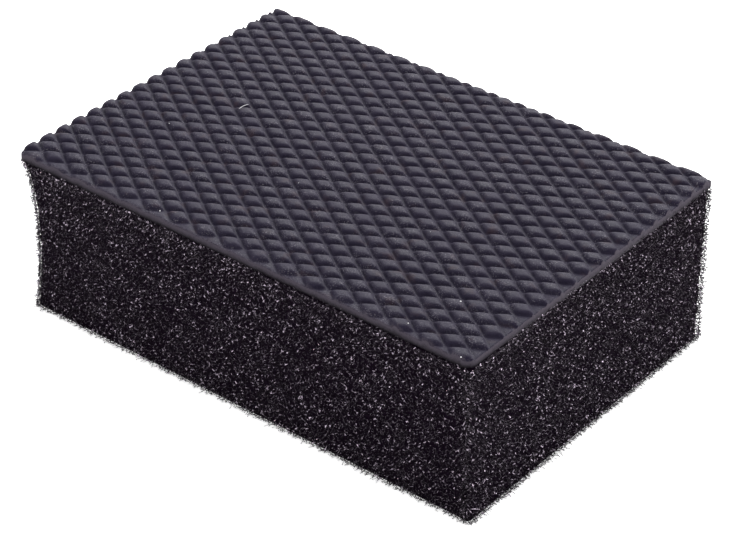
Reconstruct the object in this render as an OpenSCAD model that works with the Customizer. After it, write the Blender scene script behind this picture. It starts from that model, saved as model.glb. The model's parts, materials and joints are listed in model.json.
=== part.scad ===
// Sponge block with an embossed clay pad: a block of open-cell foam, and on its whole top
// a thin rubbery pad, embossed with a lattice of diamond pillows.
// Frame: +X along the long sides, +Z up, origin at the centre of the foot. Millimetres.

/* [Block] */
// Length of the pad, along X
block_l = 92; // [40:1:200]
// Width of the pad, along Y
block_w = 64; // [30:1:140]
// Height of the foam
foam_h = 29; // [12:0.5:60]
// How far the foot of the foam stays inside the pad's outline
foot_inset = 0.1; // [0:0.05:1.5]
// How far the top of the foam stays inside the pad's outline
neck_inset = 0.4; // [0:0.05:1.5]
// How far the foam's sides draw in between the foot and the top
waist_depth = 0.35; // [0.1:0.05:1.2]
// Radius of the foam's upright edges at the foot
edge_r = 1.5; // [0.8:0.1:8]

/* [Clay pad] */
// Thickness of the pad at the floor of its grooves
sheet_t = 1.2; // [0.4:0.1:4]
// Radius of the pad's two corners at the back, at +Y
back_corner_r = 0.6; // [0.2:0.1:8]
// Radius of the pad's two worn corners at the front, at -Y
front_corner_r = 1.4; // [0.2:0.1:12]

/* [Pillows] */
// Distance between pillows along X, the long diagonal of a diamond
pitch_x = 5.6; // [4:0.1:16]
// Distance between pillows along Y, the short diagonal of a diamond
pitch_y = 3.6; // [2.8:0.1:12]
// Height of a pillow above the grooves
pillow_h = 0.7; // [0.3:0.05:2]
// Width of a groove's flat floor
groove_w = 0.25; // [0.1:0.05:0.6]
// Width of the steep flank between a groove and the crown of a pillow
flank_w = 0.45; // [0.2:0.05:0.8]
// Height of the steep flank, as a share of the pillow's height
flank_share = 0.8; // [0.5:0.05:0.9]
// Angle of the lattice to the block's long sides, in degrees
lattice_turn = -1.05; // [-10:0.05:10]
// Where a pillow's centre lies, along X
lattice_x = 2.14; // [-8:0.01:8]
// Where a pillow's centre lies, along Y
lattice_y = 0.47; // [-6:0.01:6]

/* [Hidden] */
// Length and width of the foam's foot
foot_l = block_l - 2 * foot_inset;
foot_w = block_w - 2 * foot_inset;
// How much further the top is drawn in than the foot
taper = neck_inset - foot_inset;
// Chord from the foot to the top of a side, and the radius of the hollow arc on it
side_chord = sqrt(foam_h * foam_h + taper * taper);
side_r = (side_chord * side_chord / 4 + waist_depth * waist_depth) / (2 * waist_depth);
// Distance from that chord to the arc's centre
side_reach = side_r - waist_depth;
// Spare material that the hollow arcs cut off the foam's sides
trim = 2;
// Full thickness of the pad
pad_t = sheet_t + pillow_h;
// Side of a diamond, and the distance between two parallel grooves
diamond_side = sqrt(pitch_x * pitch_x + pitch_y * pitch_y) / 2;
groove_pitch = pitch_x * pitch_y / (2 * diamond_side);
// Angle between a groove and the long diagonal
groove_angle = atan(pitch_y / pitch_x);
// Reach of the lattice from its centre, past the pad's corners, and its ridges each way
lattice_reach = sqrt(block_l * block_l + block_w * block_w) / 2 + pitch_x;
ridge_count = ceil(lattice_reach / groove_pitch);
// Spare depth of a cut above the pad
clear = 1;
$fn = 64;
// Facets of a hollow arc, which has a large radius
arc_fn = 720;

// Section of the foam, from a line at x = 0 out to one of its hollow sides
module side_section(reach) {
    out = side_reach / side_chord;
    difference() {
        square([reach + trim, foam_h]);
        translate([reach - taper / 2 + foam_h * out, foam_h / 2 + taper * out])
            circle(side_r, $fn = arc_fn);
    }
}

// Bar of this length along Y, with both of its sides hollow
module hollow_bar(width, length) {
    for (side = [0, 180])
        rotate([0, 0, side])
            rotate([90, 0, 0])
                linear_extrude(length, center = true) side_section(width / 2);
}

// Foam block: two hollow bars that cross, and a rounded upright edge at each corner
module foam_block() {
    color("#1b181b") {
        hollow_bar(foot_l, foot_w - 2 * edge_r);
        rotate([0, 0, 90]) hollow_bar(foot_w, foot_l - 2 * edge_r);
        for (turn = [0, 180])
            rotate([0, 0, turn]) {
                translate([foot_l / 2 - edge_r, foot_w / 2 - edge_r, 0])
                    rotate_extrude(angle = 90) side_section(edge_r);
                translate([edge_r - foot_l / 2, foot_w / 2 - edge_r, 0])
                    rotate([0, 0, 90]) rotate_extrude(angle = 90) side_section(edge_r);
            }
    }
}

// What a corner at the origin, with its material towards -X -Y, loses to a radius
module corner_cut(r) {
    translate([-r, -r])
        difference() {
            square(r + clear);
            circle(r);
        }
}

// Outline of the pad, worn at its two front corners
module pad_outline() {
    difference() {
        square([block_l, block_w], center = true);
        translate([block_l / 2, block_w / 2]) corner_cut(back_corner_r);
        translate([-block_l / 2, block_w / 2]) rotate(90) corner_cut(back_corner_r);
        translate([-block_l / 2, -block_w / 2]) rotate(180) corner_cut(front_corner_r);
        translate([block_l / 2, -block_w / 2]) rotate(270) corner_cut(front_corner_r);
    }
}

// Section of one ridge centred at s: floor, steep flank, crown, steep flank, floor
function ridge(s) = let (
    foot = groove_pitch / 2 - groove_w / 2,
    knee = foot - flank_w,
    knee_z = sheet_t + flank_share * pillow_h
) [
    [s - foot, sheet_t],
    [s - knee, knee_z],
    [s, pad_t],
    [s + knee, knee_z],
    [s + foot, sheet_t]
];

// Sheet with parallel ridges along the grooves at this angle to X
module ridged_sheet(angle) {
    reach = (ridge_count + 0.5) * groove_pitch;
    profile = concat(
        [[reach, 0], [-reach, 0], [-reach, sheet_t]],
        [for (i = [-ridge_count : ridge_count]) each ridge(i * groove_pitch)],
        [[reach, sheet_t]]
    );
    rotate([0, 0, angle])
        rotate([90, 0, 90])
            linear_extrude(2 * lattice_reach, center = true) polygon(profile);
}

// Embossed pad: two ridged sheets cross, and what both hold is the lattice of pillows
module clay_pad() {
    color("#3d3c45")
    translate([0, 0, foam_h])
    intersection() {
        linear_extrude(pad_t + clear) pad_outline();
        translate([lattice_x, lattice_y, 0])
            rotate([0, 0, lattice_turn]) ridged_sheet(groove_angle);
        translate([lattice_x, lattice_y, 0])
            rotate([0, 0, lattice_turn]) ridged_sheet(-groove_angle);
    }
}

foam_block();
clay_pad();
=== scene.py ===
"""Clay sponge: a block of open-cell foam with an embossed rubbery clay pad on its whole top.

Every length is in metres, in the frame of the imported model: +X along the long sides, +Z up, and the
origin at the centre of the foot. Run as a script, it builds each piece with its operator and sets
up the studio.
"""

import json
import math

import bmesh
import bpy
import numpy as np
from bpy.props import FloatProperty, FloatVectorProperty, IntProperty, PointerProperty
from mathutils import Matrix, Vector

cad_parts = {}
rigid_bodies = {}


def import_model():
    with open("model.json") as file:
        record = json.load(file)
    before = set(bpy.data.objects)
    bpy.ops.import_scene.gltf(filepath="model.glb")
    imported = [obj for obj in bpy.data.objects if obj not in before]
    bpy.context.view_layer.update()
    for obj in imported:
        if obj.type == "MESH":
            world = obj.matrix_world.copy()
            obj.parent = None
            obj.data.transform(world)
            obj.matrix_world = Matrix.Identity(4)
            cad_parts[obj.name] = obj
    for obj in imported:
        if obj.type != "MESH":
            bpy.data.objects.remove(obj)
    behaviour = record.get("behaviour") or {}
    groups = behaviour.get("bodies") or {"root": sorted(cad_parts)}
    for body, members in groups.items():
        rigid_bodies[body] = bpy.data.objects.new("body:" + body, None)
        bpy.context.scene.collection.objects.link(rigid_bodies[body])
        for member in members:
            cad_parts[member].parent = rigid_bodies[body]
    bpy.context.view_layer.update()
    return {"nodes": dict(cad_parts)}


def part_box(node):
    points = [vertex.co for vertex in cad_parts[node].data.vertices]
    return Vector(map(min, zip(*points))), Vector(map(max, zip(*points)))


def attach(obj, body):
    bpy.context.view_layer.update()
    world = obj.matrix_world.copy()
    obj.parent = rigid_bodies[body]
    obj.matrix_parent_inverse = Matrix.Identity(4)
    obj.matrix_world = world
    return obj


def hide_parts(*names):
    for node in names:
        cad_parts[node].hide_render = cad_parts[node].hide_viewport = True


bl_info = {
    "name": "Clay Sponge",
    "version": (1, 0, 0),
    "blender": (4, 5, 0),
    "location": "View3D > Sidebar > Clay Sponge",
    "description": "Builds a foam block with an embossed clay pad around its packed model",
    "category": "Add Mesh",
}

MM = 0.001

# The start-up scene's own objects go first, so that the model is alone.
for leftover in list(bpy.data.objects):
    bpy.data.objects.remove(leftover)
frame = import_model()
FOAM_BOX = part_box("foam_block")
PAD_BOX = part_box("clay_pad")


# ---------------------------------------------------------------- sizes and colours


def length(name, description, default, low=0.0):
    """A length in metres."""
    return FloatProperty(
        name=name, description=description, default=default, min=low, precision=5, unit="LENGTH"
    )


def signed_length(name, description, default):
    """A place or shift in metres, which may be negative."""
    return FloatProperty(
        name=name, description=description, default=default, precision=5, unit="LENGTH"
    )


def angle(name, description, degrees):
    """An angle, given in degrees and kept in radians."""
    return FloatProperty(
        name=name, description=description, default=math.radians(degrees), subtype="ANGLE"
    )


def share(name, description, default, high=1.0):
    """A plain number without a unit."""
    return FloatProperty(name=name, description=description, default=default, min=0.0, max=high)


def amount(name, description, default):
    """A plain number of any size that isn't negative."""
    return FloatProperty(name=name, description=description, default=default, min=0.0)


def colour(name, description, default):
    """A linear colour."""
    return FloatVectorProperty(
        name=name, description=description, default=default, subtype="COLOR", min=0.0, max=1.0
    )


class PadSizes(bpy.types.PropertyGroup):
    """Sizes of the clay pad and its lattice of pillows"""

    pitch_x: length("Long pitch", "Distance between pillows along their long diagonal", 5.6 * MM)
    pitch_y: length("Short pitch", "Distance between pillows along their short diagonal", 3.6 * MM)
    pillow_h: length("Pillow height", "Height of a pillow above the grooves", 0.7 * MM)
    groove_w: length("Groove width", "Width of a groove's floor", 0.28 * MM)
    lattice_turn: angle("Lattice turn", "Angle of the lattice to the long sides", -1.05)
    lattice_x: signed_length("Lattice X", "Where a pillow's centre lies along X", 2.14 * MM)
    lattice_y: signed_length("Lattice Y", "Where a pillow's centre lies along Y", 0.47 * MM)
    crown: share(
        "Crown", "Power of the distance from the crest: higher is flatter on top", 5.4, 8.0
    )
    flank: share("Flank", "Power of what is left: lower makes steeper flanks", 1.0, 2.0)
    steps: IntProperty(
        name="Steps", description="Mesh steps from a crest to a groove", default=4, min=2, max=8
    )
    unevenness: share("Unevenness", "How much the pillows' heights differ, as a share", 0.05)
    waviness: length("Waviness", "Height of the slow waves in the moulded surface", 0.025 * MM)
    front_left_r: length("Front left corner", "Radius of the worn corner", 1.1 * MM)
    front_right_r: length("Front right corner", "Radius of the worn corner", 1.6 * MM)
    back_left_r: length("Back left corner", "Radius of the corner", 0.6 * MM)
    back_right_r: length("Back right corner", "Radius of the corner", 0.2 * MM)
    corner_cuts: IntProperty(
        name="Corner cuts", description="Flat cuts that round a corner", default=5, min=1, max=12
    )
    front_lean: angle("Front lean", "How far the cut along the front leans outwards", 5.0)
    right_lean: angle("Right lean", "How far the cut along the right leans outwards", 4.0)
    press_w: length(
        "Press width", "Pillows nearer to the front edge than this are pressed", 1.3 * MM
    )
    back_fill: share(
        "Back fill", "How far the grooves are filled up along the back, as a share", 0.35
    )
    roll: length("Roll", "How far the skin's rim is rounded down all around", 0.08 * MM)
    roll_w: length("Roll width", "Width of the rounded rim", 0.35 * MM)
    warp: length("Warp", "How far the pillows lie off the even lattice", 0.07 * MM)
    # Along the back this paler rim is also a painted highlight on the outermost crests.
    fade: length("Edge fade", "Width over which the skin takes on the cut edge's finish", 0.90 * MM)


class PadLook(bpy.types.PropertyGroup):
    """Finish of the clay pad"""

    skin: colour("Skin", "Slate grey of the moulded skin", (0.0056, 0.0038, 0.0128))
    wear_and_glint: colour("Worn skin", "Paler, dustier patches of the skin", (0.0190, 0.0155, 0.0290))
    warm: colour("Warm skin", "Brown patches of the skin", (0.0300, 0.0165, 0.0200))
    crumb: colour("Crumbs", "Pale crumbs that stick to the skin", (0.115, 0.107, 0.125))
    cut: colour("Cut edge", "Dull grey of the sheared edge", (0.056, 0.047, 0.062))
    skin_rough: share("Skin roughness", "Roughness of the moulded skin", 0.52)
    cut_rough: share("Cut roughness", "Roughness of the sheared edge", 0.75)
    grain: length("Grain", "Size of the fine grain in the skin", 0.16 * MM)


class FoamSizes(bpy.types.PropertyGroup):
    """Sizes of the foam's core and of its web of cell struts"""

    cell: length("Cell", "Repeat of the web of cells", 0.89 * MM)
    strut_w: length("Strut width", "Width of a strut at its ends", 0.145 * MM)
    side_layer: length("Side layer", "Depth of the web on the sides", 0.32 * MM)
    foot_layer: length("Foot layer", "Depth of the web on the foot", 0.10 * MM)
    fray: length("Fray", "How far the cut surface is frayed out", 0.80 * MM)
    foot_fray: share("Foot fray", "How much more the foot's edges are frayed, as a share", 0.6, 3.0)
    fringe_step: length(
        "Fringe step", "Distance between loose ends along the foot's edges", 0.075 * MM
    )
    fringe_l: length("Fringe length", "Longest loose end", 0.70 * MM)
    fringe_w: length("Fringe width", "Width of a loose end at its root", 0.10 * MM)
    fray_size: length("Fray size", "Distance between the frayed tufts", 0.32 * MM)
    stray: share("Stray", "How far a cell's corners stray, as a share of the cell", 0.13)
    pale_swell: share("Pale swell", "How much wider the palest struts are, as a share", 1.1, 3.0)
    core_inset: length("Core inset", "Depth of the dark core under the surface", 0.38 * MM)
    core_step: length("Core step", "Distance between the core's mesh points", 0.72 * MM)
    core_pits: length("Core pits", "Depth of the core's pits", 0.22 * MM)
    core_r: length("Core edges", "Radius of the plain outline that the core starts from", 2.6 * MM)
    front_left_r: length("Front left edge", "Radius of the upright edge", 1.3 * MM)
    front_right_r: length("Front right edge", "Radius of the upright edge", 0.7 * MM)
    back_r: length("Back edges", "Radius of the two upright edges at the back", 0.2 * MM)
    front_tuck: length("Front tuck", "How far the foot is drawn in along the front", 0.65 * MM)
    right_spread: length("Right spread", "How far the foot stands out along the right", 0.50 * MM)
    left_spread: length("Left spread", "How far the foot stands out along the left", 0.25 * MM)
    worn_hollow: length("Worn hollow", "Extra hollow of the front left edge", 0.45 * MM)
    front_flare: length(
        "Front flare", "How far the foam flares out under the front of the pad", 1.0 * MM
    )
    right_flare: length(
        "Right flare", "How far the foam flares out under the right of the pad", 0.30 * MM
    )
    bristles: length("Bristles", "How far stray struts stand up in front of the pad", 0.90 * MM)
    # Width around the front right edge over which struts get painted glints.
    glint_edge_w: length(
        "Worn edge", "How far around the front right edge more struts shine", 1.3 * MM
    )
    edge_reach: length("Edge reach", "How far along the sides an edge's own shape fades", 13 * MM)


class FoamLook(bpy.types.PropertyGroup):
    """Finish of the foam"""

    dark: colour("Dark strut", "Black of the darkest struts", (0.0012, 0.0003, 0.0016))
    # The pale end is partly the struts' own random tone and partly painted highlight: the palest
    # struts are painted glints.
    pale: colour("Pale strut", "Grey of the few brightest struts", (0.95, 0.81, 0.98))
    tone_peak: share("Tone peak", "Deviations from the middle tone to the brightest", 2.5, 6.0)
    tone_spread: share("Tone spread", "Natural logarithm of the tone for one deviation", 1.25, 3.0)
    # Struts that shine are painted glints: pale colour in place of reflected light.
    glint_share: share("Glint share", "Share of the struts that shine", 0.012)
    # More painted glints along the front right edge, where the upright edge catches the light.
    edge_glints: share(
        "Edge glints", "How much more often struts shine at the front right edge", 4.0, 20.0
    )
    strut_rough: share("Strut roughness", "Roughness of the struts", 0.16)
    # The core's black is partly the foam's own colour and partly painted shade of the foam's depth.
    core: colour("Core", "Black between the struts", (0.0042, 0.0018, 0.0052))


class StudioSizes(bpy.types.PropertyGroup):
    """Camera and light"""

    azimuth: angle("Azimuth", "Direction of the view, from +Y towards -X", 39.22)
    elevation: angle("Elevation", "Height of the camera above the horizon", 33.80)
    distance: length("Distance", "From the camera to the point that it looks at", 388.5 * MM)
    aim_x: signed_length("Aim X", "Point that the camera looks at, along X", 4.31 * MM)
    aim_y: signed_length("Aim Y", "Point that the camera looks at, along Y", -4.47 * MM)
    aim_z: signed_length("Aim Z", "Point that the camera looks at, along Z", 15 * MM)
    lens: amount("Lens", "Focal length in millimetres", 118.0)
    back_light: amount("Back light", "Power of the light behind", 8.5)
    back_turn: angle("Back light's turn", "From straight behind towards the right", 16)
    back_rise: angle("Back light's rise", "Height above the horizon", 40)
    side_light: amount("Side light", "Power of the light at the right", 1.5)
    side_turn: angle("Side light's turn", "From straight behind towards the right", 75)
    side_rise: angle("Side light's rise", "Height above the horizon", 18)
    room_light: amount("Room light", "Strength of the white room", 1.15)
    floor: colour("Floor", "Pale floor", (0.94, 0.94, 0.94))
    floor_glow: share("Floor glow", "Strength of the light from below the floor", 0.50, 2.0)


# ---------------------------------------------------------------- noise


def stirred(places, channel):
    """Random numbers from 0 to 1 at whole-number places: the coordinates are multiplied by large
    odd numbers, added up, and stirred by shifts and products, so that equal places give equal
    numbers. Each use has a channel of its own."""
    x = np.asarray(places, np.int64).astype(np.uint64)
    odd = [np.uint64(n) for n in (0x9E3779B97F4A7C15, 0xC2B2AE3D27D4EB4F, 0x165667B19E3779F9)]
    mixed = np.full(x.shape[:-1], (channel + 1) * 0x27D4EB2F, np.uint64)
    for axis in range(x.shape[-1]):
        mixed = mixed + x[..., axis] * odd[axis]
    for shift, factor in ((29, 0xBF58476D1CE4E5B9), (32, 0x94D049BB133111EB)):
        mixed = (mixed ^ (mixed >> np.uint64(shift))) * np.uint64(factor)
    mixed = mixed ^ (mixed >> np.uint64(29))
    return (mixed >> np.uint64(11)) / float(1 << 53)


def seeds(count, series=0):
    """Whole-number places for the random numbers of so many things, which make up one series."""
    return np.stack([np.arange(count), np.full(count, series)], -1)


def smooth_noise(points, size, channel):
    """Noise from -1 to 1: random numbers at the corners of cubes of this size, blended along each
    axis by 3t^2 - 2t^3, where t runs from 0 to 1 across a cube."""
    place = np.asarray(points) / size
    corner = np.floor(place).astype(np.int64)
    t = place - corner
    t = t * t * (3 - 2 * t)
    total = 0.0
    for bits in range(2 ** place.shape[-1]):
        step = np.array([bits >> axis & 1 for axis in range(place.shape[-1])])
        weight = np.prod(np.where(step, t, 1 - t), axis=-1)
        total = total + weight * stirred(corner + step, channel)
    return 2 * total - 1


# ---------------------------------------------------------------- meshes


def put_mesh(name, points, faces):
    """A mesh object from arrays: points, and faces that all have as many corners."""
    mesh = bpy.data.meshes.new(name)
    corners = faces.shape[1]
    mesh.vertices.add(len(points))
    mesh.vertices.foreach_set("co", np.ascontiguousarray(points, np.float32).ravel())
    mesh.loops.add(faces.size)
    mesh.loops.foreach_set("vertex_index", np.ascontiguousarray(faces, np.int32).ravel())
    mesh.polygons.add(len(faces))
    mesh.polygons.foreach_set("loop_start", np.arange(0, faces.size, corners, dtype=np.int32))
    mesh.update(calc_edges=True)
    mesh.validate()
    piece = bpy.data.objects.new(name, mesh)
    bpy.context.scene.collection.objects.link(piece)
    return piece


def grid_faces(rows, columns, closed):
    """Four-cornered faces of a grid of points, row after row. A closed grid joins its last column
    to its first."""
    wide = columns if closed else columns - 1
    r, c = np.meshgrid(np.arange(rows - 1), np.arange(wide), indexing="ij")
    n = (c + 1) % columns
    lower, upper = r * columns, (r + 1) * columns
    return np.stack([lower + c, lower + n, upper + n, upper + c], -1).reshape(-1, 4)


def closed_faces(rows, columns):
    """Triangles of a closed grid whose first and last rows are each capped by a pole. The two poles
    are numbered right after the grid's points."""
    quads = grid_faces(rows, columns, closed=True)
    around = np.arange(columns)
    after = (around + 1) % columns
    last = (rows - 1) * columns
    first_cap = np.stack([after, around, np.full(columns, rows * columns)], -1)
    last_cap = np.stack([last + around, last + after, np.full(columns, rows * columns + 1)], -1)
    return np.concatenate([quads[:, [0, 1, 2]], quads[:, [0, 2, 3]], first_cap, last_cap])


def finish_piece(piece, slot, *nodes):
    """Lets a finished piece ride on the part's one body, and hides the imported nodes that it stands
    for. The slot is not used.
    """
    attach(piece, "root")
    if nodes:
        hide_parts(*nodes)


# ---------------------------------------------------------------- the foam's outer form


def side_curves():
    """The foam's half length and half width against its height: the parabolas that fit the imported
    solid's levels."""
    mesh = frame["nodes"]["foam_block"].data
    co = np.zeros(len(mesh.vertices) * 3, np.float32)
    mesh.vertices.foreach_get("co", co)
    co = co.reshape(-1, 3)
    levels = np.unique(np.round(co[:, 2], 6))
    reach = np.array([co[np.abs(co[:, 2] - level) < 1e-6, :2].max(0) for level in levels])
    return np.polyfit(levels, reach[:, 0], 2), np.polyfit(levels, reach[:, 1], 2)


CURVE_X, CURVE_Y = side_curves()


# Powers of the height share by which the flare under the pad grows, and how the front's tuck and
# the right's spread change from one end of a side to the other.
FLARE_POWER = 16
TUCK_CHANGE = 0.6
SPREAD_MEAN, SPREAD_CHANGE = 0.75, 0.5


def side_depths(points, sizes):
    """How deep points lie under the nearer of the left and right sides, and of the front and back.
    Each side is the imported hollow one. The foot is drawn in along the front and stands out along
    the left and right, and the front and the right flare out right under the pad. The front left
    edge is more hollow, and the back right one runs straight up to the pad's outline. An edge's own
    shape fades along the sides as a bell curve."""
    x, y, z = points.T
    low, high = PAD_BOX
    up = np.clip(z / FOAM_BOX[1].z, 0, 1)
    half_x, half_y = np.polyval(CURVE_X, z), np.polyval(CURVE_Y, z)
    spread = 2 * sizes.edge_reach**2
    wear_and_glint = np.exp(-((x - low.x) ** 2 + (y - low.y) ** 2) / spread)
    crisp = np.exp(-((x - high.x) ** 2 + (y - high.y) ** 2) / spread)
    hollow = sizes.worn_hollow * wear_and_glint * 4 * up * (1 - up)
    near = np.exp(-((x - high.x) ** 2 + (y - low.y) ** 2) / spread)
    flare = sizes.front_flare * up**FLARE_POWER
    right_flare = sizes.right_flare * up**FLARE_POWER
    right = half_x + crisp * (high.x - half_x) + flare * near + right_flare * (1 - near)
    spread_here = SPREAD_MEAN + SPREAD_CHANGE * y / (high.y - low.y)
    right = right + sizes.right_spread * (1 - up) * spread_here
    left = half_x - hollow + sizes.left_spread * (1 - up)
    back = half_y + crisp * (high.y - half_y)
    tuck = sizes.front_tuck * (1 - up) * (1 + TUCK_CHANGE * x / (high.x - low.x))
    front = half_y - hollow - tuck + flare
    return np.minimum(right - x, left + x), np.minimum(back - y, front + y)


def rounded_depth(deep_x, deep_y, radius):
    """How deep places lie inside a rounded corner, from how deep they lie inside its two sides: the
    radius less the length of what is missing to it on both, and then what both have beyond it."""
    missing = np.hypot(np.maximum(radius - deep_x, 0), np.maximum(radius - deep_y, 0))
    return radius - missing + np.maximum(np.minimum(deep_x, deep_y) - radius, 0)


def side_depth(points, sizes):
    """How deep points lie under the foam's sides, with each upright edge rounded to its own
    radius."""
    x, y, _ = points.T
    deep_x, deep_y = side_depths(points, sizes)
    radius = np.where(y > 0, sizes.back_r, np.where(x > 0, sizes.front_right_r, sizes.front_left_r))
    return rounded_depth(deep_x, deep_y, radius)


# ---------------------------------------------------------------- foam core

# Times that a point of a plain outline moves along its normal, to get to the depth where it
# belongs.
SETTLE_STEPS = 3
# Rings of the core's foot, and how many of them one ring of the top stands for.
FOOT_RINGS = 15
TOP_RING_STEP = 4
# The core stays this far under the pad.
CORE_GAP = 0.01 * MM


def rounded_outline(half_x, half_y, radius, step):
    """Points and outward normals around a rectangle with rounded corners, counter-clockwise: each
    side and each quarter circle has evenly spaced points."""
    places, normals = [], []
    corners = [(1, 1), (-1, 1), (-1, -1), (1, -1)]
    arc_steps = max(3, round(radius * math.pi / 2 / step))
    for turn, (sx, sy) in enumerate(corners):
        side = 2 * ((half_x if turn % 2 else half_y) - radius)
        along = np.linspace(0, 1, max(2, round(side / step)), endpoint=False)
        start = math.pi / 2 * turn
        outward = np.array([math.cos(start), math.sin(start)])
        centre = np.array([sx * (half_x - radius), sy * (half_y - radius)])
        end = centre + outward * radius
        forward = np.array([-outward[1], outward[0]])
        places.append(end - forward * side * (1 - along[:, None]))
        normals.append(np.repeat(outward[None], len(along), 0))
        bend = start + math.pi / 2 * np.linspace(0, 1, arc_steps, endpoint=False)
        round_out = np.stack([np.cos(bend), np.sin(bend)], -1)
        places.append(centre + round_out * radius)
        normals.append(round_out)
    return np.concatenate(places), np.concatenate(normals)


def core_points(sizes):
    """The core's grid. Each row is a ring. The rings of the foot grow from the centre to the
    outline, those of the sides rise up the hollow sides, and those of the top shrink to the centre.
    A point of a side starts on a plain outline, moves along its normal until it lies as deep as the
    core's inset, and is pushed by random pits."""
    foot_z = FOAM_BOX[0].z + sizes.foot_layer
    top_z = FOAM_BOX[1].z - CORE_GAP
    rows = round((top_z - foot_z) / sizes.core_step)
    heights = np.linspace(foot_z, top_z, rows)
    ring, normal = rounded_outline(FOAM_BOX[1].x, FOAM_BOX[1].y, sizes.core_r, sizes.core_step)
    columns = len(ring)
    sides = np.concatenate([np.tile(ring, (rows, 1)), np.repeat(heights, columns)[:, None]], -1)
    outward = np.tile(normal, (rows, 1))
    for _ in range(SETTLE_STEPS):
        sides[:, :2] += outward * (side_depth(sides, sizes) - sizes.core_inset)[:, None]
    seed = np.stack(np.meshgrid(np.arange(rows), np.arange(columns), indexing="ij"), -1)
    pits = stirred(seed, 7) - 0.5
    pits[0] = pits[-1] = 0
    sides[:, :2] += outward * sizes.core_pits * pits.reshape(-1, 1)
    sides = sides.reshape(rows, columns, 3)
    grow = np.linspace(0, 1, FOOT_RINGS)[:, None, None]
    shrink = 1 - grow[::TOP_RING_STEP]
    foot = sides[0][None] * np.concatenate([grow, grow, grow * 0 + 1], -1)
    top = sides[-1][None] * np.concatenate([shrink, shrink, shrink * 0 + 1], -1)
    return np.concatenate([foot[1:-1], sides, top[1:-1]]), foot[0, 0], top[-1, 0]


class SPONGE_OT_foam_core(bpy.types.Operator):
    """Build the dark core that shows between the foam's struts: the foam's own black with painted
    shade of its depth
    """

    bl_idname = "sponge.foam_core"
    bl_label = "Foam core"

    def execute(self, context):
        sizes = context.scene.sponge_foam
        rings, foot_centre, top_centre = core_points(sizes)
        points = np.concatenate([rings.reshape(-1, 3), [foot_centre, top_centre]])
        piece = put_mesh("foam_core", points, closed_faces(*rings.shape[:2]))
        piece.data.materials.append(core_material(context))
        finish_piece(piece, "foam", "foam_block")
        return {"FINISHED"}


# ---------------------------------------------------------------- web of cell struts

# Turn of the web against the block, so that no row of cells lies along a side.
WEB_TURN = np.array(
    Matrix.Rotation(0.83, 3, "Z") @ Matrix.Rotation(0.37, 3, "Y") @ Matrix.Rotation(0.61, 3, "X")
)
# Size of the slow noise that warps the web, and how far it does so, as a share of the cell.
WARP_SIZE = 3.1 * MM
WARP_SHARE = 0.45
# The web may reach this far past the regular places of its corners.
WEB_SPARE = 0.8 * MM
# The web stays this far under the pad, and a strut cut shorter than this is left out.
PAD_GAP = 0.02 * MM
SHORTEST = 0.05 * MM


def web_pattern():
    """Corners and struts of packed fourteen-sided cells, in quarters of the cell repeat. A corner
    has one coordinate that is 0, one that is 2 and one that is odd, counted modulo 4, and a strut
    joins two corners that are one step apart along each of two axes. Returns each strut's start and
    its step, for one repeat."""
    spots = np.stack(np.meshgrid(*[np.arange(4)] * 3, indexing="ij"), -1).reshape(-1, 3)

    def is_corner(p):
        return (np.sort(np.where(p % 2, 1, p % 4), -1) == [0, 1, 2]).all(-1)

    steps = [(0, 1, 1), (0, 1, -1), (1, 0, 1), (1, 0, -1), (1, 1, 0), (1, -1, 0)]
    starts = spots[is_corner(spots)]
    found = [(starts[is_corner(starts + step)], step) for step in steps]
    start = np.concatenate([s for s, _ in found])
    step = np.concatenate([np.repeat([step], len(s), 0) for s, step in found])
    return start, step


def web_place(corner, sizes, even=False):
    """Where corners of the web lie: the regular place turned askew to the block, strayed at random
    and warped by slow noise, so that no rows show. An even web leaves out the last two."""
    quarter = sizes.cell / 4
    if even:
        return corner * quarter @ WEB_TURN
    stray = np.stack([stirred(corner, channel) for channel in (11, 12, 13)], -1) - 0.5
    place = (corner * quarter + stray * 2 * sizes.stray * sizes.cell) @ WEB_TURN
    warp = np.stack([smooth_noise(place, WARP_SIZE, channel) for channel in (21, 22, 23)], -1)
    return place + warp * WARP_SHARE * sizes.cell


def web_struts(sizes, depth_of, layer):
    """The web's struts that may lie in a layer under the surface: their ends' places, and for each
    strut the numbers of its two ends. Whole repeats far from the layer are left out first, then
    single struts."""
    box = np.stack(np.meshgrid(*np.array(FOAM_BOX).T), -1).reshape(-1, 3) @ WEB_TURN.T / sizes.cell
    lines = [np.arange(math.floor(line.min()) - 2, math.ceil(line.max()) + 2) for line in box.T]
    cubes = np.stack(np.meshgrid(*lines, indexing="ij"), -1).reshape(-1, 3)
    depth = depth_of(web_place(cubes * 4 + 2, sizes, even=True))
    cubes = cubes[(depth > -WEB_SPARE - sizes.cell) & (depth < layer + WEB_SPARE + sizes.cell)]
    start, step = web_pattern()
    first = (cubes[:, None] * 4 + start[None]).reshape(-1, 3)
    step = np.tile(step, (len(cubes), 1))
    depth = depth_of(web_place(first + step / 2, sizes, even=True))
    near = (depth > -WEB_SPARE) & (depth < layer + WEB_SPARE)
    ends = np.concatenate([first[near], (first + step)[near]])
    shifted = ends - ends.min(0)
    width = shifted.max() + 1
    keys = (shifted[:, 0] * width + shifted[:, 1]) * width + shifted[:, 2]
    keys, number = np.unique(keys, return_inverse=True)
    corner = np.stack([keys // width**2, keys // width % width, keys % width], -1) + ends.min(0)
    return web_place(corner, sizes), number.reshape(2, -1)


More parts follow.
